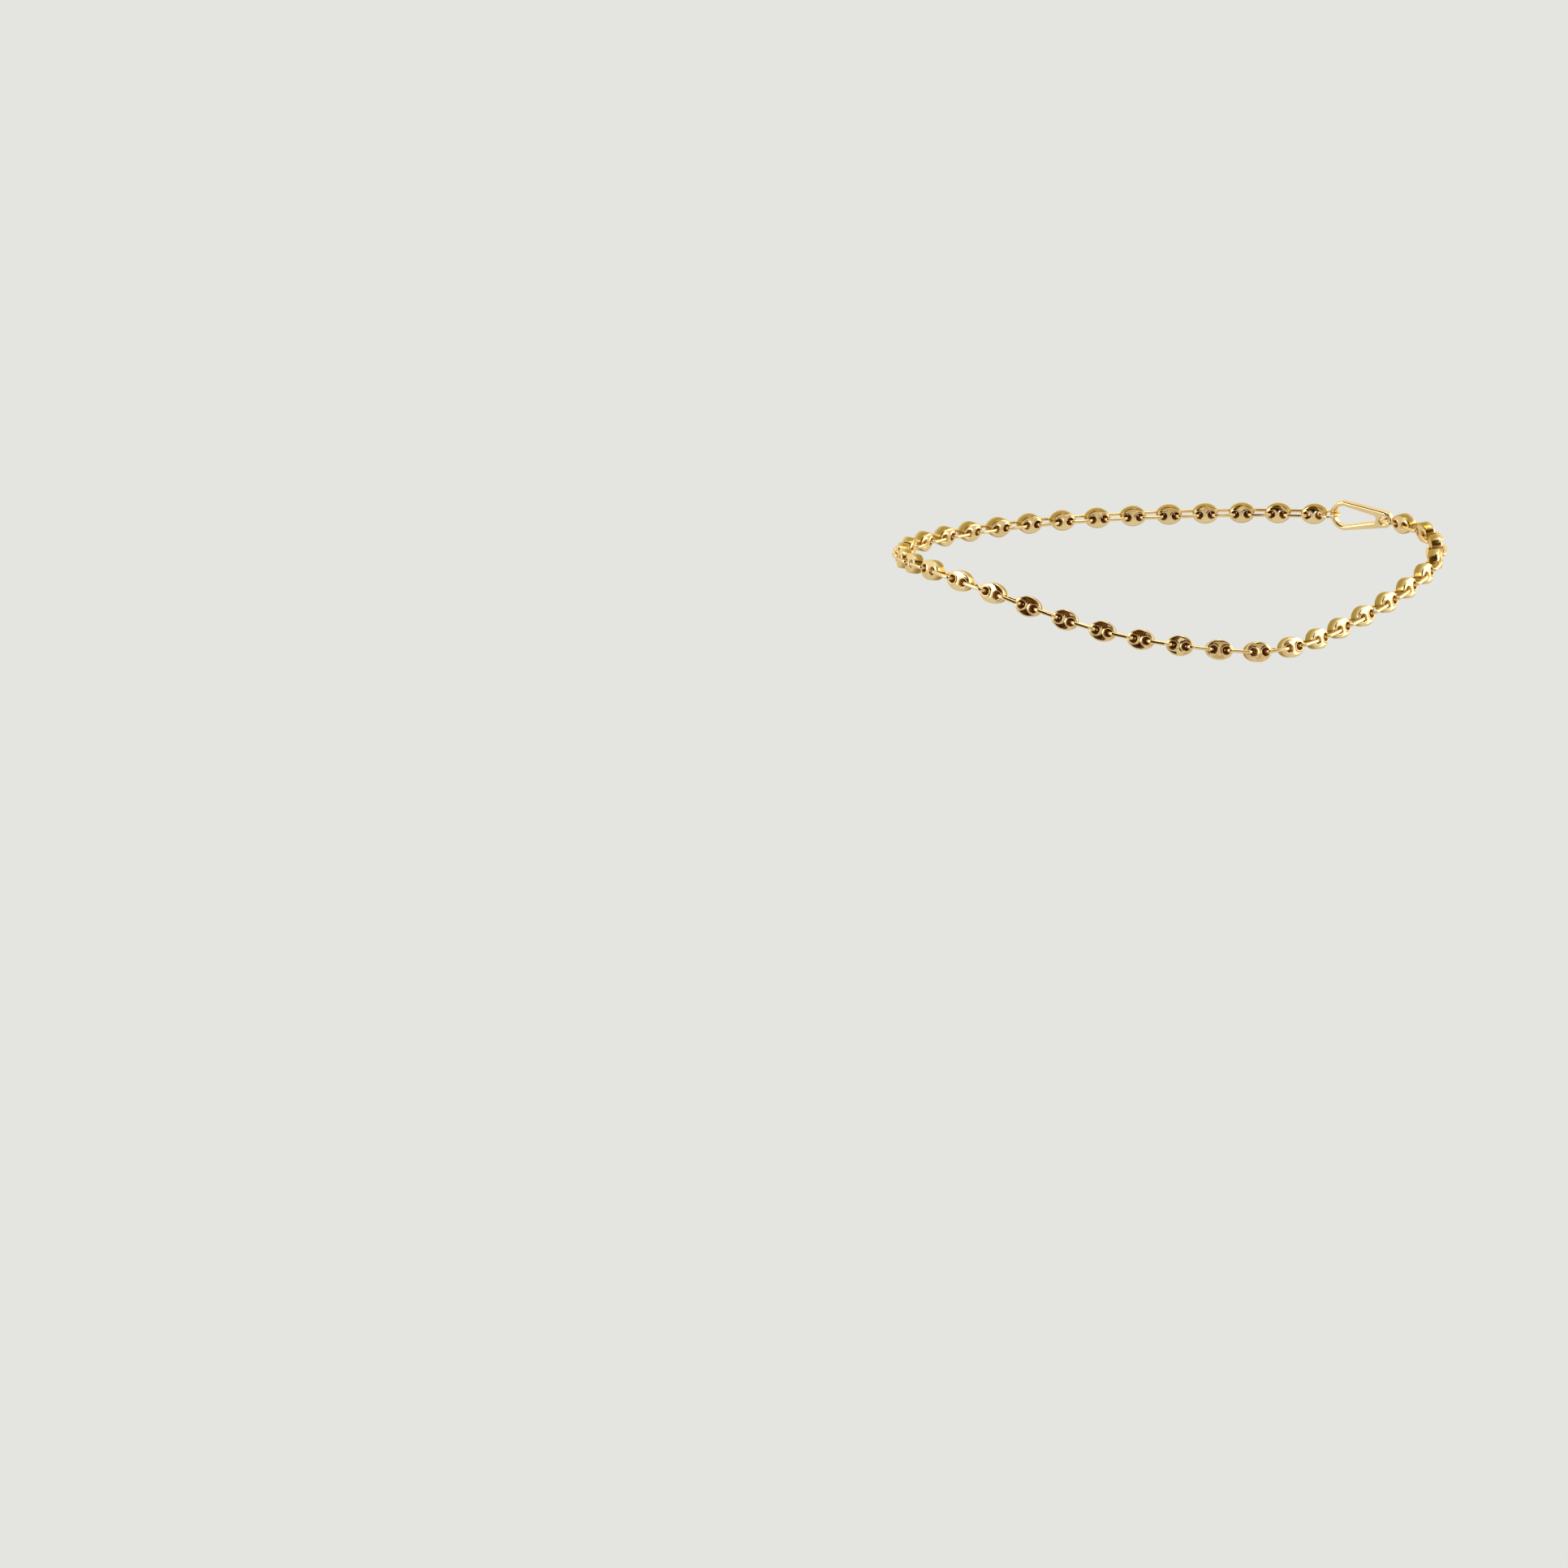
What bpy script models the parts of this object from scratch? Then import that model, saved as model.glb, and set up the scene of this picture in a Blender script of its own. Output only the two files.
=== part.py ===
"""An anklet of puffed two-hole links and wire links, closed by a plain clasp, in the form it has when worn."""

import math

import bmesh
import bpy
from mathutils import Matrix, Vector

MM = 0.001

# Size of the closed anklet
ANKLET_LENGTH = 238.0 * MM
FRONT_SHARE = 0.6  # share of the puffed links that run from the first route point to the clasp

# Puffed link: an oval cushion of metal with two round holes side by side
LINK_LENGTH = 4.2 * MM
LINK_WIDTH = 3.15 * MM
LINK_THICKNESS = 2.0 * MM
LINK_END_THICKNESS = 1.6 * MM
HOLE_SPACING = 2.0 * MM
HOLE_RADIUS = 0.45 * MM  # at its narrowest, half way through the link
HOLE_SIDES = 10
LIP_WIDTH = 0.37 * MM  # from the narrowest part of the hole to the top of its rolled lip
LIP_LIMIT = 0.7  # the most of a wall that the lip may take
SHOULDER_SHARE = 0.25  # how far the rounded shoulder reaches from the outline towards the lip
SHOULDER_HEIGHT = 0.86  # height of the shoulder as a share of the face's height there

# Wire link: a rounded oblong of wire that stands across the puffed links and hooks through their holes
WIRE_DIAMETER = 0.62 * MM
WIRE_LINK_INSIDE_LENGTH = 2.98 * MM
WIRE_LINK_CLEARANCE = 0.22 * MM  # between the wire and the lip that it passes over, front and back
WIRE_LINK_SQUARENESS = 5.0
WIRE_LINK_POINTS = 10
WIRE_SIDES = 5
SOLDER_DEPTH = 0.06 * MM  # how deep the wire sinks into the edge of the hole that it hooks

# Closure: jump ring, clasp and end ring
RING_CLEARANCE = 0.24 * MM  # between a ring's wire and the link's hole that it hangs in
SWING_CLEARANCE = 0.2 * MM  # between the inside of a ring and the edge that it turns about
RING_SEGMENTS = 16
RING_SIDES = 6
CLASP_LENGTH = 10.9 * MM
CLASP_WIDTH = 5.0 * MM
CLASP_THICKNESS = 1.3 * MM
CLASP_WALL = 0.8 * MM
CLASP_EDGE = 0.25 * MM
CLASP_EYE_RADIUS = 0.6 * MM
CLASP_OUTLINE_POINTS = 24
CLASP_WINDOW_POINTS = 16
CLASP_EYE_POINTS = 10

# Lean of the links' faces, upwards from level
FACE_TILT = math.radians(9.0)

# Route of the chain, worn, in millimetres about the middle of the ankle: x to the right, y away from the
# front and z up. It starts at the left end of the stretch that shows from the front and runs to the right.
ROUTE = [
    (-42.8, -6.2, 4.2),
    (-38.7, -17.4, 4.2),
    (-29.6, -24.6, 1.8),
    (-13.0, -29.6, -3.3),
    (4.5, -32.6, -5.6),
    (11.0, -31.6, -6.1),
    (15.9, -29.1, -5.8),
    (24.3, -20.6, -4.3),
    (36.3, -7.9, -0.1),
    (42.1, 2.2, 2.9),
    (42.4, 12.0, 5.2),
    (36.4, 22.0, 6.2),
    (22.0, 28.6, 6.2),
    (2.0, 31.2, 5.6),
    (-18.0, 28.0, 4.9),
    (-33.6, 18.2, 4.4),
    (-41.8, 5.8, 4.2),
]

GOLD = (0.86, 0.62, 0.24, 1.0)
MERGE_DISTANCE = 0.001 * MM
SHARP_ANGLE = math.radians(40.0)


def face_height(x):
    """Height of the puffed link's domed face above its middle plane."""
    middle = LINK_THICKNESS / 2
    fall = middle - LINK_END_THICKNESS / 2
    return middle - fall * (2 * x / LINK_LENGTH) ** 2


def ring_for(hole_radius, half_thickness):
    """Diameter, to the middle of its wire, of a ring that hangs in a hole and swings clear of its edge."""
    reach = RING_WIRE / 2 + SWING_CLEARANCE
    return (hole_radius**2 + half_thickness**2 - reach**2) / (hole_radius - reach)


# Sizes that follow from the ones above
LINK_PITCH = HOLE_SPACING + 2 * HOLE_RADIUS + WIRE_LINK_INSIDE_LENGTH + 2 * SOLDER_DEPTH
LIP_HEIGHT = face_height(HOLE_SPACING / 2 + HOLE_RADIUS + LIP_WIDTH)
WIRE_LINK_INSIDE_HEIGHT = 2 * (LIP_HEIGHT + WIRE_LINK_CLEARANCE)
RING_WIRE = 2 * (HOLE_RADIUS - RING_CLEARANCE)
RING_DIAMETER = max(
    ring_for(CLASP_EYE_RADIUS, CLASP_THICKNESS / 2),
    ring_for(HOLE_RADIUS + LIP_WIDTH, LIP_HEIGHT),
)
CLASP_EYE_TO_SEAT = CLASP_LENGTH - 2 * CLASP_EYE_RADIUS - 2 * CLASP_WALL
CLASP_TAIL = CLASP_EYE_RADIUS + CLASP_WALL
CLASP_MOUTH = CLASP_LENGTH - CLASP_TAIL - CLASP_WIDTH / 2  # middle of the wide end, from the eye
CLOSURE_LENGTH = HOLE_SPACING + RING_DIAMETER + CLASP_EYE_TO_SEAT + RING_DIAMETER
LINK_COUNT = round((ANKLET_LENGTH - CLOSURE_LENGTH) / LINK_PITCH) + 1
FRONT_COUNT = round(LINK_COUNT * FRONT_SHARE)
LOOP_LENGTH = (LINK_COUNT - 1) * LINK_PITCH + CLOSURE_LENGTH


def empty_scene():
    for thing in list(bpy.data.objects):
        bpy.data.objects.remove(thing)


def gold_material(name):
    material = bpy.data.materials.new(name)
    material.use_nodes = True
    shader = material.node_tree.nodes["Principled BSDF"]
    shader.inputs["Base Color"].default_value = GOLD
    shader.inputs["Metallic"].default_value = 1.0
    shader.inputs["Roughness"].default_value = 0.12
    return material


def smooth_route(points, steps=24):
    """Closed curve through the points, a cubic for each stretch."""
    curve = []
    count = len(points)
    for i in range(count):
        before, start, end, after = (points[(i + k) % count] for k in (-1, 0, 1, 2))
        span = (end - start).length
        leave = tangent(before, start, end) * span
        arrive = tangent(start, end, after) * span
        for step in range(steps):
            t = step / steps
            curve.append(
                start * (2 * t**3 - 3 * t**2 + 1)
                + leave * (t**3 - 2 * t**2 + t)
                + end * (3 * t**2 - 2 * t**3)
                + arrive * (t**3 - t**2)
            )
    return curve


def tangent(before, here, after):
    """Direction of the curve at a point, weighted towards the nearer neighbour."""
    back = here - before
    ahead = after - here
    return (back / back.length**2 + ahead / ahead.length**2).normalized()


class Route:
    """The closed path of the chain, scaled so that a whole number of links closes it exactly."""

    def __init__(self):
        self.points = smooth_route([Vector(p) * MM for p in ROUTE])
        scale = LOOP_LENGTH / self.measure()
        self.points = [p * scale for p in self.points]

    def measure(self):
        count = len(self.points)
        self.lengths = [(self.points[(i + 1) % count] - self.points[i]).length for i in range(count)]
        return sum(self.lengths)

    def at(self, distance):
        """Point at a distance along the loop from its first point."""
        distance %= LOOP_LENGTH
        self.measure()
        for i, length in enumerate(self.lengths):
            if distance <= length:
                following = self.points[(i + 1) % len(self.points)]
                return self.points[i].lerp(following, distance / length)
            distance -= length
        return self.points[0].copy()

    def placed(self, start, end):
        """Place for a piece between two points: its x runs along the chain and its z faces out."""
        along = (end - start).normalized()
        out = along.cross(Vector((0, 0, 1))).normalized()
        up = out.cross(along)
        facing = out * math.cos(FACE_TILT) + up * math.sin(FACE_TILT)
        across = facing.cross(along)
        turn = Matrix((along, across, facing)).transposed().to_4x4()
        return Matrix.Translation((start + end) / 2) @ turn


def outline_point(turn):
    """Point of the link's oval outline at a turn from the end of the link."""
    return Vector((LINK_LENGTH / 2 * math.cos(turn), LINK_WIDTH / 2 * math.sin(turn), 0))


def puffed_link(bm):
    """A quarter of the link, from the lip of a hole to the outline and into the bore, mirrored twice."""
    hole_centre = Vector((HOLE_SPACING / 2, 0, 0))
    middle_step = HOLE_SIDES // 2
    edge_step = middle_step - 1
    step_turn = math.tau / HOLE_SIDES

    def step_of(vert):
        return round(math.atan2(vert.co.y, vert.co.x) / step_turn)

    def outline_at(step):
        return outline_point(step / edge_step * math.pi / 2)

    def hole_edge_at(step):
        turn = step * step_turn
        return hole_centre + Vector((math.cos(turn), math.sin(turn), 0)) * HOLE_RADIUS

    def lip_at(step):
        edge = hole_edge_at(step)
        far = Vector() if abs(step) == middle_step else outline_at(step)
        wall = far - edge
        return edge + wall.normalized() * min(LIP_WIDTH, LIP_LIMIT * wall.length)

    def raised(point, share=1.0):
        return Vector((point.x, point.y, face_height(point.x) * share))

    start_turn = Matrix.Rotation(-math.pi / 2, 4, "Z")
    loops = []
    for radius in (HOLE_RADIUS, 2 * HOLE_RADIUS):
        made = bmesh.ops.create_circle(bm, segments=HOLE_SIDES, radius=radius, matrix=start_turn)
        loops.append(made["verts"])
    lip, shoulder = loops
    steps = {v: step_of(v) for v in lip + shoulder}
    ring_edges = {e for v in lip + shoulder for e in v.link_edges}
    for v in lip:
        v.co = raised(lip_at(steps[v]))
    for v in shoulder:
        step = steps[v]
        if abs(step) == middle_step:
            v.co = raised(Vector())
            continue
        v.co = raised(outline_at(step).lerp(lip_at(step), SHOULDER_SHARE), SHOULDER_HEIGHT)
        if abs(step) == edge_step:
            v.co.x = 0
    bmesh.ops.bridge_loops(bm, edges=list(ring_edges))

    outer = {v for v in shoulder if abs(steps[v]) <= edge_step}
    outer_edges = [e for e in ring_edges if all(v in outer for v in e.verts)]
    wall = bmesh.ops.extrude_edge_only(bm, edges=outer_edges)["geom"]
    for v in [v for v in wall if isinstance(v, bmesh.types.BMVert)]:
        nearest = min(outer, key=lambda s: (s.co - v.co).length)
        v.co = outline_at(steps[nearest])
    lip_edges = [e for e in ring_edges if all(v in lip for v in e.verts)]
    bore = bmesh.ops.extrude_edge_only(bm, edges=lip_edges)["geom"]
    for v in [v for v in bore if isinstance(v, bmesh.types.BMVert)]:
        nearest = min(lip, key=lambda s: (s.co - v.co).length)
        v.co = hole_edge_at(steps[nearest])
    for axis in ("X", "Z"):
        everything = bm.verts[:] + bm.edges[:] + bm.faces[:]
        bmesh.ops.mirror(bm, geom=everything, axis=axis, merge_dist=MERGE_DISTANCE)
    bmesh.ops.remove_doubles(bm, verts=bm.verts, dist=MERGE_DISTANCE)
    bmesh.ops.recalc_face_normals(bm, faces=bm.faces)


def oblong_point(turn, length, height):
    """Point of a rounded oblong, squarer than an oval, whose straight ends lie at its full length."""
    power = 2 / WIRE_LINK_SQUARENESS
    end = math.cos(math.pi / WIRE_LINK_POINTS) ** power
    x = math.copysign(abs(math.cos(turn)) ** power, math.cos(turn)) * length / 2 / end
    z = math.copysign(abs(math.sin(turn)) ** power, math.sin(turn)) * height / 2
    return Vector((x, 0, z))


def wire_link(bm, length):
    """Oblong of round wire in the plane of x and z: circles set square to it, each bridged to the next."""
    height = WIRE_LINK_INSIDE_HEIGHT + WIRE_DIAMETER
    radius = WIRE_DIAMETER / 2
    half_step = math.pi / WIRE_LINK_POINTS
    rings = []
    for i in range(WIRE_LINK_POINTS):
        turn = (2 * i + 1) * half_step
        here = oblong_point(turn, length, height)
        before = oblong_point(turn - 2 * half_step, length, height)
        after = oblong_point(turn + 2 * half_step, length, height)
        arriving = (here - before).normalized()
        along = (arriving + (after - here).normalized()).normalized()
        outward = Vector((0, 1, 0)).cross(along)
        mitre = 1 / along.dot(arriving)
        place = Matrix((outward.cross(along), outward * mitre, along)).transposed().to_4x4()
        place.translation = here
        made = bmesh.ops.create_circle(bm, segments=WIRE_SIDES, radius=radius, matrix=place)
        rings.append(list({e for v in made["verts"] for e in v.link_edges}))
    for i, ring in enumerate(rings):
        bmesh.ops.bridge_loops(bm, edges=ring + rings[(i + 1) % len(rings)])
    bmesh.ops.recalc_face_normals(bm, faces=bm.faces)


def mesh_of(name, shape, *sizes):
    """Mesh of flat triangles, so that the pieces join cleanly."""
    bm = bmesh.new()
    shape(bm, *sizes)
    bmesh.ops.triangulate(bm, faces=bm.faces)
    mesh = bpy.data.meshes.new(name)
    bm.to_mesh(mesh)
    bm.free()
    return mesh


def joined(name, placed_meshes):
    """One mesh of several, each in its place."""
    bm = bmesh.new()
    for mesh, place in placed_meshes:
        first = len(bm.verts)
        bm.from_mesh(mesh)
        bm.verts.ensure_lookup_table()
        bmesh.ops.transform(bm, matrix=place, verts=bm.verts[first:])
    result = bpy.data.meshes.new(name)
    bm.to_mesh(result)
    bm.free()
    return result


def add_object(name, mesh, collection, material):
    thing = bpy.data.objects.new(name, mesh)
    mesh.materials.append(material)
    collection.objects.link(thing)
    mesh.shade_smooth()
    mesh.set_sharp_from_angle(angle=SHARP_ANGLE)
    return thing


def chain_stretch(name, route, first, last, open_end, parts, cutters):
    """Puffed links first to last and the wire links between them, fused into one body.

    With an open end, one more wire link hooks out of the last puffed link, loose in the next stretch's hole.
    """
    link_mesh = mesh_of(name + "_link", puffed_link)
    places = {}
    for i in range(first, last + 2):
        middle = i * LINK_PITCH
        half = HOLE_SPACING / 2
        places[i] = route.placed(route.at(middle - half), route.at(middle + half))
    hole = Vector((HOLE_SPACING / 2, 0, 0))
    hook = HOLE_RADIUS + SOLDER_DEPTH - WIRE_DIAMETER / 2 * math.cos(math.pi / WIRE_SIDES)
    hooked = hole + Vector((hook, 0, 0))
    wires = []
    last_wire = last if open_end else last - 1
    for i in range(first, last_wire + 1):
        start = places[i] @ hooked
        end = places[i + 1] @ -(hooked if i < last else hole)
        length = (end - start).length
        wires.append((mesh_of(f"{name}_wire_{i}", wire_link, length), route.placed(start, end)))
    material = gold_material(name)
    links = [(link_mesh, places[i]) for i in range(first, last + 1)]
    stretch = add_object(name, joined(name, links), parts, material)
    hooks = add_object(name + "_wires", joined(name + "_wires", wires), cutters, material)
    hooks.display_type = "WIRE"
    hooks.hide_render = True
    union = stretch.modifiers.new("wires", "BOOLEAN")
    union.operation = "UNION"
    union.object = hooks
    return stretch


def ring(name, start, end, route, parts):
    """Round jump ring that stands across the links."""
    place = route.placed(start, end) @ Matrix.Rotation(math.pi / 2, 4, "X")
    bpy.ops.mesh.primitive_torus_add(
        major_radius=RING_DIAMETER / 2,
        minor_radius=RING_WIRE / 2,
        major_segments=RING_SEGMENTS,
        minor_segments=RING_SIDES,
    )
    thing = bpy.context.active_object
    for collection in list(thing.users_collection):
        collection.objects.unlink(thing)
    thing.name = name
    thing.data.materials.append(gold_material(name))
    thing.data.shade_smooth()
    thing.matrix_world = place
    parts.objects.link(thing)
    return thing


def slot_point(turn, near, near_radius, far, far_radius):
    """Point of a slot with two round ends of different size and straight sides, at a turn from its far end."""
    middle, radius = (far, far_radius) if math.cos(turn) > 0 else (near, near_radius)
    return Vector((middle + radius * math.cos(turn), radius * math.sin(turn), 0))


def clasp_outline():
    """Pear-shaped outline, wide at the mouth and narrow at the eye, with its eye's centre at the origin."""
    points = []
    for i in range(CLASP_OUTLINE_POINTS):
        turn = math.tau * (i + 0.5) / CLASP_OUTLINE_POINTS
        points.append(slot_point(turn, 0, CLASP_TAIL, CLASP_MOUTH, CLASP_WIDTH / 2))
    return points


def clasp_window():
    """Opening of the clasp, a wall's width inside the outline and past the eye."""
    near = CLASP_TAIL + CLASP_EYE_RADIUS
    points = []
    for i in range(CLASP_WINDOW_POINTS):
        turn = -math.tau * (i + 0.5) / CLASP_WINDOW_POINTS
        points.append(slot_point(turn, near, CLASP_EYE_RADIUS, CLASP_MOUTH, CLASP_WIDTH / 2 - CLASP_WALL))
    return points


def clasp_eye():
    """Round hole at the origin."""
    turns = [-math.tau * i / CLASP_EYE_POINTS for i in range(CLASP_EYE_POINTS)]
    return [Vector((math.cos(turn), math.sin(turn), 0)) * CLASP_EYE_RADIUS for turn in turns]


def clasp(name, start, end, route, parts):
    """Plain flat clasp: a pear-shaped ring with an eye at its narrow end."""
    curve = bpy.data.curves.new(name, "CURVE")
    curve.dimensions = "2D"
    curve.fill_mode = "BOTH"
    curve.extrude = CLASP_THICKNESS / 2 - CLASP_EDGE
    curve.bevel_depth = CLASP_EDGE
    curve.bevel_resolution = 1
    curve.offset = -CLASP_EDGE
    for points in (clasp_outline(), clasp_window(), clasp_eye()):
        spline = curve.splines.new("POLY")
        spline.points.add(len(points) - 1)
        for point, place in zip(spline.points, points):
            point.co = (*place, 1)
        spline.use_cyclic_u = True
    draft = bpy.data.objects.new(name + "_curve", curve)
    parts.objects.link(draft)
    bpy.context.view_layer.update()
    shape = draft.evaluated_get(bpy.context.evaluated_depsgraph_get())
    mesh = bpy.data.meshes.new_from_object(shape)
    bpy.data.objects.remove(draft)
    bm = bmesh.new()
    bm.from_mesh(mesh)
    bmesh.ops.remove_doubles(bm, verts=bm.verts, dist=MERGE_DISTANCE)
    bmesh.ops.recalc_face_normals(bm, faces=bm.faces)
    bm.to_mesh(mesh)
    bm.free()
    mesh.materials.clear()
    thing = add_object(name, mesh, parts, gold_material(name))
    place = route.placed(start, end)
    place.translation = start
    thing.matrix_world = place
    return thing


def closure(route, parts):
    """Jump ring, clasp and end ring, hooked one through the other between the chain's two ends."""
    distance = (FRONT_COUNT - 1) * LINK_PITCH + HOLE_SPACING / 2
    joints = [route.at(distance)]
    for length in (RING_DIAMETER, CLASP_EYE_TO_SEAT, RING_DIAMETER):
        distance += length
        joints.append(route.at(distance))
    ring("jump_ring", joints[0], joints[1], route, parts)
    clasp("clasp", joints[1], joints[2], route, parts)
    ring("end_ring", joints[2], joints[3], route, parts)


def build():
    empty_scene()
    parts = bpy.data.collections.new("anklet")
    cutters = bpy.data.collections.new("joining_shapes")
    for collection in (parts, cutters):
        bpy.context.scene.collection.children.link(collection)
    route = Route()
    back_count = LINK_COUNT - FRONT_COUNT
    chain_stretch("chain_front", route, 0, FRONT_COUNT - 1, False, parts, cutters)
    chain_stretch("chain_back", route, -back_count, -1, True, parts, cutters)
    closure(route, parts)


build()
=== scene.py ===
"""Finish of the anklet: smooth puffed links, wire links, rings and clasp in polished gold, lit softly."""

import math

import bmesh
import bpy
from mathutils import Matrix, Vector

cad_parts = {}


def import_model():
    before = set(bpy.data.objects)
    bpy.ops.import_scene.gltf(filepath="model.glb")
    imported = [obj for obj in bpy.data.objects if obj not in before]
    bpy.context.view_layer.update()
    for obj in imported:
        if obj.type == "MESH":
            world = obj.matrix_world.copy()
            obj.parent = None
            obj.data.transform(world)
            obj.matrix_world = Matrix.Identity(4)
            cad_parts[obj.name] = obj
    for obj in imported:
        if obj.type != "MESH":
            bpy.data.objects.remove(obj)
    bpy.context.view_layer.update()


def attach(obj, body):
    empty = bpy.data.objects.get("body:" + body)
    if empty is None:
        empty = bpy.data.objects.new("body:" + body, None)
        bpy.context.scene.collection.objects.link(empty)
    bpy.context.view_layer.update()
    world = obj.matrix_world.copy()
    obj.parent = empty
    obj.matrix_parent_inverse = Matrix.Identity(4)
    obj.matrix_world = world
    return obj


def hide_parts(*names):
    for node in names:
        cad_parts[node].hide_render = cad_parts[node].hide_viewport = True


MM = 0.001

# Closed anklet
ANKLET_LENGTH = 238.0 * MM
FRONT_SHARE = 0.6

# Puffed link
LINK_LENGTH = 4.2 * MM
LINK_WIDTH = 3.15 * MM
LINK_THICKNESS = 2.0 * MM
LINK_END_THICKNESS = 1.6 * MM
CROSS_FALL = 0.11 * MM  # how far the face falls from the middle to the long edges
HOLE_SPACING = 2.0 * MM
HOLE_RADIUS = 0.45 * MM
MOUTH_RADIUS = 0.62 * MM
# Radius of the bore half way through: where a wire is soldered in, and where a ring or a wire hangs loose
WAIST_RADIUS = 0.03 * MM
OPEN_WAIST_RADIUS = 0.36 * MM
BORE_FLARE = LINK_THICKNESS / 4  # depth below the face at which the bore starts to narrow to its waist
LIP_WIDTH = 0.37 * MM
LIP_ROUNDING = 0.15 * MM
LIP_SPREAD = 0.35 * MM  # from the mouth of the hole to the foot of its raised lip
LIP_PROUD = 0.1 * MM
LIP_BACK_RISE = 0.35  # height of the lip's back as a share of its crown's
RIM_ROUNDING = 0.2 * MM
FLAT_SHARE = 0.12  # least part of the way from hole to edge that stays flat between lip and rim
HOLE_STEPS = 30  # points round a hole
EDGE_STEP = 12  # points to each side of the link's end that face its outline

# Wire link
WIRE_DIAMETER = 0.62 * MM
WIRE_FLATNESS = 0.88  # width of the wire across the links as a share of its diameter
WIRE_CORNER = 1.3  # reach of its four corners as a share of its radius, because its sides are rolled flat
WIRE_SIDES = 8
WIRE_LINK_POINTS = 28
WIRE_LINK_INSIDE_LENGTH = 2.98 * MM
WIRE_LINK_CLEARANCE = 0.22 * MM
WIRE_LINK_SQUARENESS = 5.0
SOLDER_DEPTH = 0.06 * MM

# Chain
CHAIN_SMOOTHING = 1
MERGE = 0.001 * MM  # points nearer to each other than this are one

# Closure
RING_CLEARANCE = 0.24 * MM
SWING_CLEARANCE = 0.2 * MM
RING_STEPS = 64
RING_SIDES = 16
CLASP_LENGTH = 10.9 * MM
CLASP_WIDTH = 5.0 * MM
CLASP_THICKNESS = 1.3 * MM
CLASP_WALL = 0.8 * MM
CLASP_EDGE = 0.34 * MM
CLASP_EYE_RADIUS = 0.6 * MM
CLASP_OUTLINE_POINTS = 96
CLASP_WINDOW_POINTS = 64
CLASP_EYE_POINTS = 40
CLASP_EDGE_STEPS = 5

# Lean of the links' faces above level
FACE_TILT = math.radians(9.0)

# Route of the chain in millimetres, as it is worn
ROUTE = [
    (-42.8, -6.2, 4.2),
    (-38.7, -17.4, 4.2),
    (-29.6, -24.6, 1.8),
    (-13.0, -29.6, -3.3),
    (4.5, -32.6, -5.6),
    (11.0, -31.6, -6.1),
    (15.9, -29.1, -5.8),
    (24.3, -20.6, -4.3),
    (36.3, -7.9, -0.1),
    (42.1, 2.2, 2.9),
    (42.4, 12.0, 5.2),
    (36.4, 22.0, 6.2),
    (22.0, 28.6, 6.2),
    (2.0, 31.2, 5.6),
    (-18.0, 28.0, 4.9),
    (-33.6, 18.2, 4.4),
    (-41.8, 5.8, 4.2),
]
ROUTE_STEPS = 24

# Polished gold: its colour, which clouds vary at random, the painted shade on its side walls and in its
# holes, and what wear does to its polish
GOLD_LIGHT = (1.0, 0.78, 0.42, 1)
# Deeper gold, used for the clouds' random variation and as painted shade on the side walls
GOLD_DEEP_AND_SHADE = (0.4, 0.25, 0.05, 1)
GOLD_SHADOWED = (0.6, 0.4, 0.2, 1)
GOLD_EDGE = (1.0, 0.82, 0.5, 1)
CLOUD_SCALE = 160.0
CLOUD_TONE = 0.4
# How much painted shade the side walls take
SIDE_SHADE = 0.8
# How much painted shade the holes take
RECESS_SHADE = 0.92
POLISH_ROUGHNESS = 0.05
RUB_SCALE = 2600.0
RUB_ROUGHNESS = 0.05
SIDE_ROUGHNESS = 0.1
RECESS_ROUGHNESS = 0.3
WAVE_SCALE = 420.0
WAVE_STRENGTH = 0.05
WAVE_HEIGHT = 0.02 * MM

# Matt surfaces of the studio
MATT = {"Roughness": 1.0, "Specular IOR Level": 0.0}
FLOOR_COLOUR = (0.773, 0.765, 0.724, 1)
FLOOR_RADIUS = 20.0
FLOOR_SIDES = 96
FLOOR_HEIGHT = -0.25
MOTTLING_SCALE = 4.0
MOTTLING_CONTRAST = 6.0
MOTTLING_START = 2.7

# Light all round, and the lamps that the metal mirrors: place, size and watts
SKY_COLOUR = (0.93, 0.94, 0.96, 1)
SKY_STRENGTH = 1.08
LAMPS = {
    "left_window": ((-1.5, -0.9, 0.6), (1.2, 1.2), 8.0),
    "right_window": ((1.5, 0.3, 0.35), (2.0, 1.3), 13.0),
    "overhead": ((0.3, 0.2, 1.8), (0.7, 0.6), 4.0),
}

# Cards that the metal mirrors: turns to the side and heights in degrees, distance, dark and light colour
CARDS = {
    "dark_card": ((-46, -10), (-25, 85), 0.3, (0.03, 0.009, 0.001, 1), (0.17, 0.085, 0.03, 1)),
    "upper_card": ((-4, 55), (24, 58), 0.4, (0.03, 0.01, 0.001, 1), (0.4, 0.22, 0.07, 1)),
    "lower_card": ((-4, 55), (-32, 24), 0.4, (0.62, 0.52, 0.4, 1), (1.0, 0.95, 0.86, 1)),
}

# Camera, fitted to the photo
PHOTO_PIXELS = 1932
FOCAL_PIXELS = 5500
SENSOR_WIDTH = 36.0
CAMERA_PLACE = (-0.06167, -0.70024, 0.11547)
CAMERA_PITCH = math.radians(78.0)
CAMERA_NEAR = 0.01
CAMERA_FAR = 50.0


def face_height(x, y=0):
    """Height of the domed face above the link's middle plane."""
    middle = LINK_THICKNESS / 2
    fall = middle - LINK_END_THICKNESS / 2
    return middle - fall * (2 * x / LINK_LENGTH) ** 2 - CROSS_FALL * (2 * y / LINK_WIDTH) ** 2


def ring_for(hole_radius, half_thickness):
    """Diameter of a ring that turns clear of the hole's edge."""
    reach = RING_WIRE / 2 + SWING_CLEARANCE
    return (hole_radius**2 + half_thickness**2 - reach**2) / (hole_radius - reach)


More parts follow.
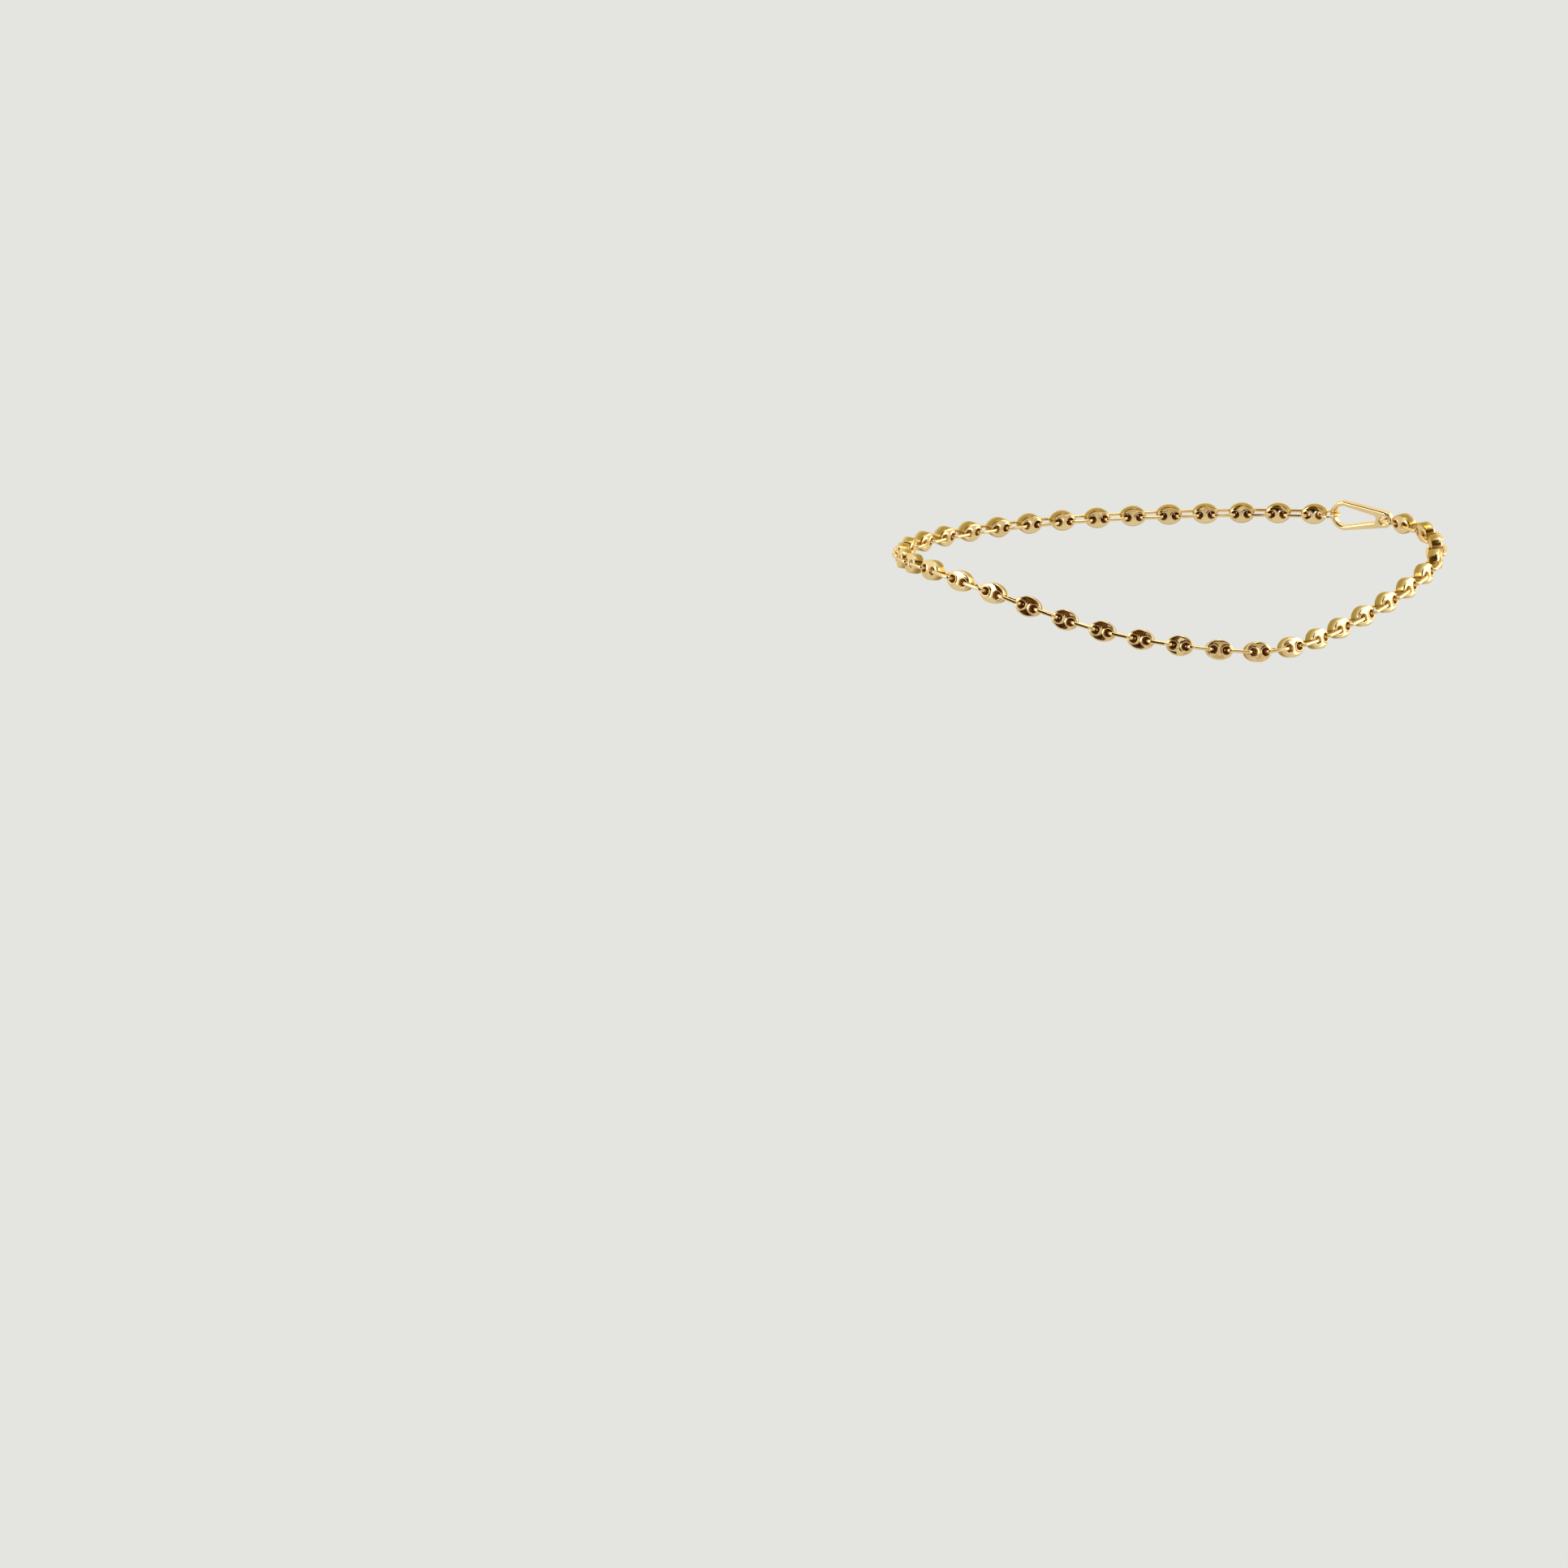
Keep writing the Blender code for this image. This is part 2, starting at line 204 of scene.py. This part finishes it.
LINK_PITCH = HOLE_SPACING + 2 * HOLE_RADIUS + WIRE_LINK_INSIDE_LENGTH + 2 * SOLDER_DEPTH
LIP_HEIGHT = face_height(HOLE_SPACING / 2 + HOLE_RADIUS + LIP_WIDTH)
WIRE_LINK_INSIDE_HEIGHT = 2 * (LIP_HEIGHT + WIRE_LINK_CLEARANCE)
RING_WIRE = 2 * (HOLE_RADIUS - RING_CLEARANCE)
RING_DIAMETER = max(
    ring_for(CLASP_EYE_RADIUS, CLASP_THICKNESS / 2),
    ring_for(HOLE_RADIUS + LIP_WIDTH, LIP_HEIGHT),
)
CLASP_EYE_TO_SEAT = CLASP_LENGTH - 2 * CLASP_EYE_RADIUS - 2 * CLASP_WALL
CLASP_TAIL = CLASP_EYE_RADIUS + CLASP_WALL
CLASP_MOUTH = CLASP_LENGTH - CLASP_TAIL - CLASP_WIDTH / 2
CLOSURE_LENGTH = HOLE_SPACING + RING_DIAMETER + CLASP_EYE_TO_SEAT + RING_DIAMETER
LINK_COUNT = round((ANKLET_LENGTH - CLOSURE_LENGTH) / LINK_PITCH) + 1
FRONT_COUNT = round(LINK_COUNT * FRONT_SHARE)
LOOP_LENGTH = (LINK_COUNT - 1) * LINK_PITCH + CLOSURE_LENGTH


def tangent(before, here, after):
    """Direction of the route at a point, led by the nearer of its neighbours."""
    back = here - before
    ahead = after - here
    return (back / back.length**2 + ahead / ahead.length**2).normalized()


def smooth_route(points):
    """Closed curve through the points."""
    curve = []
    count = len(points)
    for i in range(count):
        before, start, end, after = (points[(i + k) % count] for k in (-1, 0, 1, 2))
        span = (end - start).length
        leave = tangent(before, start, end) * span
        arrive = tangent(start, end, after) * span
        for step in range(ROUTE_STEPS):
            t = step / ROUTE_STEPS
            curve.append(
                start * (2 * t**3 - 3 * t**2 + 1)
                + leave * (t**3 - 2 * t**2 + t)
                + end * (3 * t**2 - 2 * t**3)
                + arrive * (t**3 - t**2)
            )
    return curve


class Route:
    """The closed path that the chain follows."""

    def __init__(self):
        self.points = smooth_route([Vector(p) * MM for p in ROUTE])
        scale = LOOP_LENGTH / sum(self.lengths())
        self.points = [p * scale for p in self.points]
        self.spans = self.lengths()

    def lengths(self):
        count = len(self.points)
        return [(self.points[(i + 1) % count] - self.points[i]).length for i in range(count)]

    def at(self, distance):
        """Point at a distance along the route."""
        distance %= LOOP_LENGTH
        for i, length in enumerate(self.spans):
            if distance <= length:
                return self.points[i].lerp(self.points[(i + 1) % len(self.points)], distance / length)
            distance -= length
        return self.points[0].copy()

    def placed(self, start, end):
        """Place for a piece between two points: x along the chain, z out from the ankle."""
        along = (end - start).normalized()
        out = along.cross(Vector((0, 0, 1))).normalized()
        up = out.cross(along)
        facing = out * math.cos(FACE_TILT) + up * math.sin(FACE_TILT)
        across = facing.cross(along)
        turn = Matrix((along, across, facing)).transposed().to_4x4()
        return Matrix.Translation((start + end) / 2) @ turn


def outline_point(turn):
    return Vector((LINK_LENGTH / 2 * math.cos(turn), LINK_WIDTH / 2 * math.sin(turn), 0))


def outline_normal(turn):
    return Vector((math.cos(turn) / LINK_LENGTH, math.sin(turn) / LINK_WIDTH, 0)).normalized()


# Loops of the link's section from the bore out to the rim, each with how much painted shade it takes as
# part of the hole and how much painted shade it takes as part of the side wall
SECTION = {
    "bore_middle": (1.0, 0.0),
    "bore_upper": (1.0, 0.0),
    "bore_top": (0.8, 0.0),
    "lip_bend": (0.15, 0.0),
    "lip_crown": (0.0, 0.0),
    "lip_back": (0.0, 0.0),
    "lip_foot": (0.0, 0.0),
    "face": (0.0, 0.0),
    "rim": (0.0, 0.0),
    "rim_bend": (0.0, 0.05),
    "wall_top": (0.0, 0.4),
    "outline": (0.0, 1.0),
}
WALL_LOOPS = ("rim_bend", "wall_top", "outline")


def section_point(name, step, waist):
    """Point of a named loop at a step round the hole."""
    bend = 1 - math.sqrt(0.5)
    half_steps = HOLE_STEPS // 2
    turn = step * math.tau / HOLE_STEPS
    radial = Vector((math.cos(turn), math.sin(turn), 0))
    mouth = Vector((HOLE_SPACING / 2, 0, 0)) + radial * MOUTH_RADIUS
    edge_turn = max(-1.0, min(1.0, step / EDGE_STEP)) * math.pi / 2
    outline = outline_point(edge_turn)
    inward = -outline_normal(edge_turn)
    if abs(step) <= EDGE_STEP:
        wall = (outline - mouth).length
        fit = min(1.0, wall * (1 - FLAT_SHARE) / (LIP_SPREAD + RIM_ROUNDING))
        rim = outline + inward * RIM_ROUNDING * fit
    else:
        share = (half_steps - abs(step)) / (half_steps - EDGE_STEP)
        fit = min(1.0, mouth.x * (1 - FLAT_SHARE) / (LIP_SPREAD * abs(radial.x)))
        rim = Vector((0, math.copysign(share * (LINK_WIDTH / 2 - RIM_ROUNDING), step), 0))
    lip_round = LIP_ROUNDING * fit
    rim_round = RIM_ROUNDING * fit
    proud = LIP_PROUD * fit
    foot = mouth + radial * LIP_SPREAD * fit
    point, rise = {
        "bore_middle": (mouth + radial * (waist - MOUTH_RADIUS), None),
        "bore_upper": (mouth + radial * (HOLE_RADIUS - MOUTH_RADIUS), -BORE_FLARE),
        "bore_top": (mouth, proud - lip_round),
        "lip_bend": (mouth + radial * lip_round * bend, proud - lip_round * bend),
        "lip_crown": (mouth + radial * lip_round, proud),
        "lip_back": (mouth + radial * (lip_round + LIP_SPREAD * fit) / 2, proud * LIP_BACK_RISE),
        "lip_foot": (foot, 0),
        "face": ((foot + rim) / 2, 0),
        "rim": (rim, 0),
        "rim_bend": (outline + inward * rim_round * bend, -rim_round * bend),
        "wall_top": (outline, -rim_round),
        "outline": (outline, None),
    }[name]
    height = 0 if rise is None else face_height(point.x, point.y) + rise
    return Vector((point.x, point.y, height))


def puffed_link(bm, waist):
    """One face of the link about one hole, loop by loop from the bore out to the rim, then mirrored."""
    # Shares of painted shade in the holes and on the side walls, kept on the points
    painted_hole_shade = bm.verts.layers.float.new("painted_hole_shade")
    side = bm.verts.layers.float.new("side")
    start = bmesh.ops.create_circle(bm, segments=HOLE_STEPS, radius=HOLE_RADIUS)["verts"]
    steps = {v: round(math.atan2(v.co.y, v.co.x) / math.tau * HOLE_STEPS) for v in start}
    edges = list({e for v in start for e in v.link_edges})
    grown = list(start)
    for name, (hole_shade_share, side_shade_share) in SECTION.items():
        if name != "bore_middle":
            if name in WALL_LOOPS:
                edges = [e for e in edges if all(abs(steps[v]) <= EDGE_STEP for v in e.verts)]
            before = {v for e in edges for v in e.verts}
            made = bmesh.ops.extrude_edge_only(bm, edges=edges)["geom"]
            grown = [g for g in made if isinstance(g, bmesh.types.BMVert)]
            edges = [g for g in made if isinstance(g, bmesh.types.BMEdge)]
            for v in grown:
                source = next(e.other_vert(v) for e in v.link_edges if e.other_vert(v) in before)
                steps[v] = steps[source]
        for v in grown:
            v.co = section_point(name, steps[v], waist)
            v[painted_hole_shade] = hole_shade_share
            v[side] = side_shade_share
    for axis in ("X", "Z"):
        bmesh.ops.mirror(bm, geom=bm.verts[:] + bm.edges[:] + bm.faces[:], axis=axis, merge_dist=MERGE)
    bmesh.ops.remove_doubles(bm, verts=bm.verts, dist=MERGE)
    # The rear half of the side walls, turned to the ankle, takes the full painted shade
    for v in bm.verts:
        if v.co.z < -MERGE and v[side] > 0:
            v[side] = 1.0
    bmesh.ops.recalc_face_normals(bm, faces=bm.faces)


def oblong_point(turn, length, height):
    """Point at a turn round the middle line of the wire link."""
    power = 2 / WIRE_LINK_SQUARENESS
    x = math.copysign(abs(math.cos(turn)) ** power, math.cos(turn)) * length / 2
    z = math.copysign(abs(math.sin(turn)) ** power, math.sin(turn)) * height / 2
    return Vector((x, 0, z))


def wire_link(bm, length):
    """Circles of wire set square to a rounded oblong and bridged one to the next."""
    painted_hole_shade = bm.verts.layers.float.new("painted_hole_shade")
    height = WIRE_LINK_INSIDE_HEIGHT + WIRE_DIAMETER
    half_step = math.pi / WIRE_LINK_POINTS
    rings = []
    for i in range(WIRE_LINK_POINTS):
        turn = (2 * i + 1) * half_step
        here = oblong_point(turn, length, height)
        before = oblong_point(turn - 2 * half_step, length, height)
        after = oblong_point(turn + 2 * half_step, length, height)
        along = ((here - before).normalized() + (after - here).normalized()).normalized()
        outward = Vector((0, 1, 0)).cross(along)
        place = Matrix((outward.cross(along), outward, along)).transposed().to_4x4()
        place.translation = here
        made = bmesh.ops.create_circle(bm, segments=WIRE_SIDES, radius=WIRE_DIAMETER / 2, matrix=place)
        for v in made["verts"]:
            offset = v.co - here
            if MERGE < abs(offset.y) < WIRE_DIAMETER / 2 - MERGE:
                offset *= WIRE_CORNER
            offset.y *= WIRE_FLATNESS
            v.co = here + offset
            # Painted shade on the wire where it runs inside a hole, fading out towards the faces
            v[painted_hole_shade] = max(0.0, 1.0 - (v.co.z / LIP_HEIGHT) ** 2)
        rings.append(list({e for v in made["verts"] for e in v.link_edges}))
    for i, ring in enumerate(rings):
        bmesh.ops.bridge_loops(bm, edges=ring + rings[(i + 1) % len(rings)])
    bmesh.ops.recalc_face_normals(bm, faces=bm.faces)


def round_ring(bm):
    place = Matrix.Translation((RING_DIAMETER / 2, 0, 0)) @ Matrix.Rotation(math.pi / 2, 4, "X")
    bmesh.ops.create_circle(bm, segments=RING_SIDES, radius=RING_WIRE / 2, matrix=place)
    bmesh.ops.spin(
        bm,
        geom=bm.verts[:] + bm.edges[:],
        cent=(0, 0, 0),
        axis=(0, 0, 1),
        angle=math.tau,
        steps=RING_STEPS,
        use_merge=True,
        use_duplicate=False,
    )
    bmesh.ops.remove_doubles(bm, verts=bm.verts, dist=MERGE)
    bmesh.ops.recalc_face_normals(bm, faces=bm.faces)


def rounded_slot(count, near, near_radius, far, far_radius, way):
    """Two round ends of different size, joined by straight sides."""
    points = []
    for i in range(count):
        turn = way * math.tau * (i + 0.5) / count
        middle, radius = (far, far_radius) if math.cos(turn) > 0 else (near, near_radius)
        points.append(Vector((middle + radius * math.cos(turn), radius * math.sin(turn), 0)))
    return points


def clasp_outline():
    return rounded_slot(CLASP_OUTLINE_POINTS, 0, CLASP_TAIL, CLASP_MOUTH, CLASP_WIDTH / 2, 1)


def clasp_window():
    near = CLASP_TAIL + CLASP_EYE_RADIUS
    far_radius = CLASP_WIDTH / 2 - CLASP_WALL
    return rounded_slot(CLASP_WINDOW_POINTS, near, CLASP_EYE_RADIUS, CLASP_MOUTH, far_radius, -1)


def clasp_eye():
    turns = [-math.tau * i / CLASP_EYE_POINTS for i in range(CLASP_EYE_POINTS)]
    return [Vector((math.cos(turn), math.sin(turn), 0)) * CLASP_EYE_RADIUS for turn in turns]


def clasp_mesh():
    """A flat loop with a window and an eye, given the clasp's thickness and rounded edges."""
    curve = bpy.data.curves.new("clasp_outline", "CURVE")
    curve.dimensions = "2D"
    curve.fill_mode = "BOTH"
    curve.extrude = CLASP_THICKNESS / 2 - CLASP_EDGE
    curve.bevel_depth = CLASP_EDGE
    curve.bevel_resolution = CLASP_EDGE_STEPS
    curve.offset = -CLASP_EDGE
    for points in (clasp_outline(), clasp_window(), clasp_eye()):
        spline = curve.splines.new("POLY")
        spline.points.add(len(points) - 1)
        for point, place in zip(spline.points, points):
            point.co = (*place, 1)
        spline.use_cyclic_u = True
    draft = bpy.data.objects.new("clasp_draft", curve)
    bpy.context.scene.collection.objects.link(draft)
    bpy.context.view_layer.update()
    mesh = bpy.data.meshes.new_from_object(draft.evaluated_get(bpy.context.evaluated_depsgraph_get()))
    bpy.data.objects.remove(draft)
    bm = bmesh.new()
    bm.from_mesh(mesh)
    bmesh.ops.remove_doubles(bm, verts=bm.verts, dist=MERGE)
    bmesh.ops.recalc_face_normals(bm, faces=bm.faces)
    bm.to_mesh(mesh)
    bm.free()
    mesh.materials.clear()
    return mesh


class Value:
    """A number that changes over a surface, on which sums add Math nodes."""

    def __init__(self, finish, socket):
        self.finish = finish
        self.socket = socket

    def combine(self, operation, first, second):
        made = self.finish.node("ShaderNodeMath", {"operation": operation}, {0: first, 1: second})
        return Value(self.finish, made[0])

    def __add__(self, other):
        return self.combine("ADD", self, other)

    def __radd__(self, other):
        return self.combine("ADD", other, self)

    def __sub__(self, other):
        return self.combine("SUBTRACT", self, other)

    def __rsub__(self, other):
        return self.combine("SUBTRACT", other, self)

    def __mul__(self, other):
        return self.combine("MULTIPLY", self, other)

    def __rmul__(self, other):
        return self.combine("MULTIPLY", other, self)


class Finish:
    """A material and the one way in which its nodes are made."""

    def __init__(self, name):
        self.material = bpy.data.materials.new(name)
        self.material.use_nodes = True
        self.tree = self.material.node_tree
        self.shader = self.tree.nodes["Principled BSDF"]

    def node(self, kind, settings, sockets):
        made = self.tree.nodes.new(kind)
        for key, value in settings.items():
            setattr(made, key, value)
        self.feed(made, sockets)
        return made.outputs

    def feed(self, node, sockets):
        for key, value in sockets.items():
            if isinstance(value, Value):
                value = value.socket
            if isinstance(value, bpy.types.NodeSocket):
                self.tree.links.new(value, node.inputs[key])
            else:
                node.inputs[key].default_value = value


def polished_gold():
    """Mirror-polished yellow gold with painted shade on the side walls and inside the holes, where it is
    also dull.
    """
    finish = Finish("polished_gold")
    place = finish.node("ShaderNodeTexCoord", {}, {})["Object"]

    def noise(scale, detail):
        made = finish.node("ShaderNodeTexNoise", {}, {"Vector": place, "Scale": scale, "Detail": detail})
        return Value(finish, made["Fac"])

    def painted(attribute):
        return Value(finish, finish.node("ShaderNodeAttribute", {"attribute_name": attribute}, {})["Fac"])

    def blended(first, second, share):
        mixed = finish.node(
            "ShaderNodeMix", {"data_type": "RGBA"}, {"Factor": share, "A": first, "B": second}
        )
        return mixed["Result"]

    cloud = noise(CLOUD_SCALE, 1.0)
    rub = noise(RUB_SCALE, 2.0)
    wave = noise(WAVE_SCALE, 1.0)
    painted_hole_shade = painted("painted_hole_shade")
    side = painted("side")
    # Clouds vary the gold's own colour at random; painted shade darkens the side walls and the holes
    tone_and_shade = blended(GOLD_LIGHT, GOLD_DEEP_AND_SHADE, cloud * CLOUD_TONE + side * SIDE_SHADE)
    tone_and_shade = blended(tone_and_shade, GOLD_SHADOWED, painted_hole_shade * RECESS_SHADE)
    wear = rub * RUB_ROUGHNESS + POLISH_ROUGHNESS
    bump = finish.node(
        "ShaderNodeBump", {}, {"Strength": WAVE_STRENGTH, "Distance": WAVE_HEIGHT, "Height": wave}
    )
    finish.feed(
        finish.shader,
        {
            "Base Color": tone_and_shade,
            "Metallic": 1.0,
            "Specular Tint": GOLD_EDGE,
            "Roughness": wear + side * SIDE_ROUGHNESS + painted_hole_shade * RECESS_ROUGHNESS,
            "Normal": bump["Normal"],
        },
    )
    return finish.material


def matt_finish(name, colour):
    finish = Finish(name)
    finish.feed(finish.shader, {"Base Color": colour, **MATT})
    return finish.material


def mesh_of(name, shape, *sizes):
    """A mesh made by one of the shapes above."""
    bm = bmesh.new()
    shape(bm, *sizes)
    mesh = bpy.data.meshes.new(name)
    bm.to_mesh(mesh)
    bm.free()
    return mesh


def joined(name, placed_meshes):
    """One mesh of many, each put in its place."""
    bm = bmesh.new()
    for mesh, place in placed_meshes:
        first = len(bm.verts)
        bm.from_mesh(mesh)
        bm.verts.ensure_lookup_table()
        bmesh.ops.transform(bm, matrix=place, verts=bm.verts[first:])
    result = bpy.data.meshes.new(name)
    bm.to_mesh(result)
    bm.free()
    return result


def add_piece(name, mesh, material, node, smoothing=0):
    """A piece of the finished anklet, which takes the place of a CAD node."""
    piece = bpy.data.objects.new(name, mesh)
    bpy.context.scene.collection.objects.link(piece)
    mesh.materials.append(material)
    mesh.shade_smooth()
    if smoothing:
        smooth = piece.modifiers.new("smooth", "SUBSURF")
        smooth.levels = smoothing
        smooth.render_levels = smoothing
    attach(piece, "root")
    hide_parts(node)
    return piece


def chain(node, route, first, last, open_end, gold):
    """A stretch of links from the first to the last, whose open end has one more wire hanging loose."""
    inner_link = mesh_of(node + "_link", puffed_link, WAIST_RADIUS)
    end_link = mesh_of(node + "_end_link", puffed_link, OPEN_WAIST_RADIUS)
    half = HOLE_SPACING / 2
    places = {}
    for i in range(first, last + 2):
        middle = i * LINK_PITCH
        places[i] = route.placed(route.at(middle - half), route.at(middle + half))
    hole = Vector((half, 0, 0))
    hooked = hole + Vector((HOLE_RADIUS + SOLDER_DEPTH - WIRE_DIAMETER / 2, 0, 0))
    wires = []
    last_wire = last if open_end else last - 1
    for i in range(first, last_wire + 1):
        start = places[i] @ hooked
        end = places[i + 1] @ -(hooked if i < last else hole)
        wire = mesh_of(f"{node}_wire_{i}", wire_link, (end - start).length)
        wires.append((wire, route.placed(start, end)))
    links = [(end_link if i in (first, last) else inner_link, places[i]) for i in range(first, last + 1)]
    for name, parts in ((node + "_puffed_links", links), (node + "_wire_links", wires)):
        add_piece(name, joined(name, parts), gold, node, CHAIN_SMOOTHING)


def closure(route, gold):
    """The clasp and its two rings, from the last link of the front stretch on."""
    distance = (FRONT_COUNT - 1) * LINK_PITCH + HOLE_SPACING / 2
    stops = [route.at(distance)]
    for length in (RING_DIAMETER, CLASP_EYE_TO_SEAT, RING_DIAMETER):
        distance += length
        stops.append(route.at(distance))
    across = Matrix.Rotation(math.pi / 2, 4, "X")
    for node, start, end in (("jump_ring", stops[0], stops[1]), ("end_ring", stops[2], stops[3])):
        mesh = mesh_of(node + "_wire", round_ring)
        mesh.transform(route.placed(start, end) @ across)
        add_piece(node + "_wire", mesh, gold, node)
    mesh = clasp_mesh()
    place = route.placed(stops[1], stops[2])
    place.translation = stops[1]
    mesh.transform(place)
    clasp = add_piece("clasp_body", mesh, gold, "clasp")
    clasp.modifiers.new("even_shading", "WEIGHTED_NORMAL")


def add_camera():
    data = bpy.data.cameras.new("camera")
    data.sensor_width = SENSOR_WIDTH
    data.lens = FOCAL_PIXELS / PHOTO_PIXELS * SENSOR_WIDTH
    data.clip_start = CAMERA_NEAR
    data.clip_end = CAMERA_FAR
    camera = bpy.data.objects.new("camera", data)
    bpy.context.scene.collection.objects.link(camera)
    camera.location = CAMERA_PLACE
    camera.rotation_euler = (CAMERA_PITCH, 0, 0)
    bpy.context.scene.camera = camera


def soft_light(name, place, size, power):
    """A soft lamp turned to the anklet, which the metal mirrors and which leaves the floor evenly lit."""
    data = bpy.data.lights.new(name, "AREA")
    data.shape = "RECTANGLE"
    data.size, data.size_y = size
    data.energy = power
    lamp = bpy.data.objects.new(name, data)
    bpy.context.scene.collection.objects.link(lamp)
    lamp.location = place
    lamp.rotation_euler = Vector(place).to_track_quat("Z", "Y").to_euler()
    lamp.visible_camera = False
    lamp.visible_diffuse = False


def floor():
    bm = bmesh.new()
    bmesh.ops.create_circle(bm, cap_ends=True, segments=FLOOR_SIDES, radius=FLOOR_RADIUS)
    mesh = bpy.data.meshes.new("floor")
    bm.to_mesh(mesh)
    bm.free()
    mesh.materials.append(matt_finish("pale_floor", FLOOR_COLOUR))
    ground = bpy.data.objects.new("floor", mesh)
    bpy.context.scene.collection.objects.link(ground)
    ground.location = (0, 0, FLOOR_HEIGHT)


def mottled_finish(name, dark, light):
    finish = Finish(name)
    place = finish.node("ShaderNodeTexCoord", {}, {})["Object"]
    made = finish.node("ShaderNodeTexNoise", {}, {"Vector": place, "Scale": MOTTLING_SCALE, "Detail": 1.0})
    share = Value(finish, made["Fac"]) * MOTTLING_CONTRAST - MOTTLING_START
    mixed = finish.node("ShaderNodeMix", {"data_type": "RGBA"}, {"Factor": share, "A": dark, "B": light})
    finish.feed(finish.shader, {"Base Color": mixed["Result"], **MATT})
    return finish.material


def card(name, sides, heights, distance, dark, light):
    """A card facing the anklet that shows only in the metal's reflections."""
    bm = bmesh.new()
    bmesh.ops.create_grid(bm, x_segments=1, y_segments=1, size=0.5)
    mesh = bpy.data.meshes.new(name)
    bm.to_mesh(mesh)
    bm.free()
    mesh.materials.append(mottled_finish(name, dark, light))
    sheet = bpy.data.objects.new(name, mesh)
    bpy.context.scene.collection.objects.link(sheet)
    across = math.radians(sum(sides) / 2)
    up = math.radians(sum(heights) / 2)
    outward = Vector((math.sin(across) * math.cos(up), -math.cos(across) * math.cos(up), math.sin(up)))
    sheet.location = outward * distance
    sheet.rotation_euler = outward.to_track_quat("Z", "Y").to_euler()
    wide = 2 * distance * math.tan(math.radians(sides[1] - sides[0]) / 2)
    tall = 2 * distance * math.tan(math.radians(heights[1] - heights[0]) / 2)
    sheet.scale = (wide, tall, 1)
    sheet.visible_camera = False
    sheet.visible_diffuse = False
    sheet.visible_shadow = False


def studio():
    scene = bpy.context.scene
    scene.view_settings.view_transform = "Standard"
    world = bpy.data.worlds.new("studio")
    scene.world = world
    world.use_nodes = True
    background = world.node_tree.nodes["Background"]
    background.inputs["Color"].default_value = SKY_COLOUR
    background.inputs["Strength"].default_value = SKY_STRENGTH
    for name, settings in LAMPS.items():
        soft_light(name, *settings)
    floor()
    for name, settings in CARDS.items():
        card(name, *settings)


def main():
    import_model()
    gold = polished_gold()
    route = Route()
    chain("chain_front", route, 0, FRONT_COUNT - 1, False, gold)
    chain("chain_back", route, FRONT_COUNT - LINK_COUNT, -1, True, gold)
    closure(route, gold)
    add_camera()
    studio()


main()
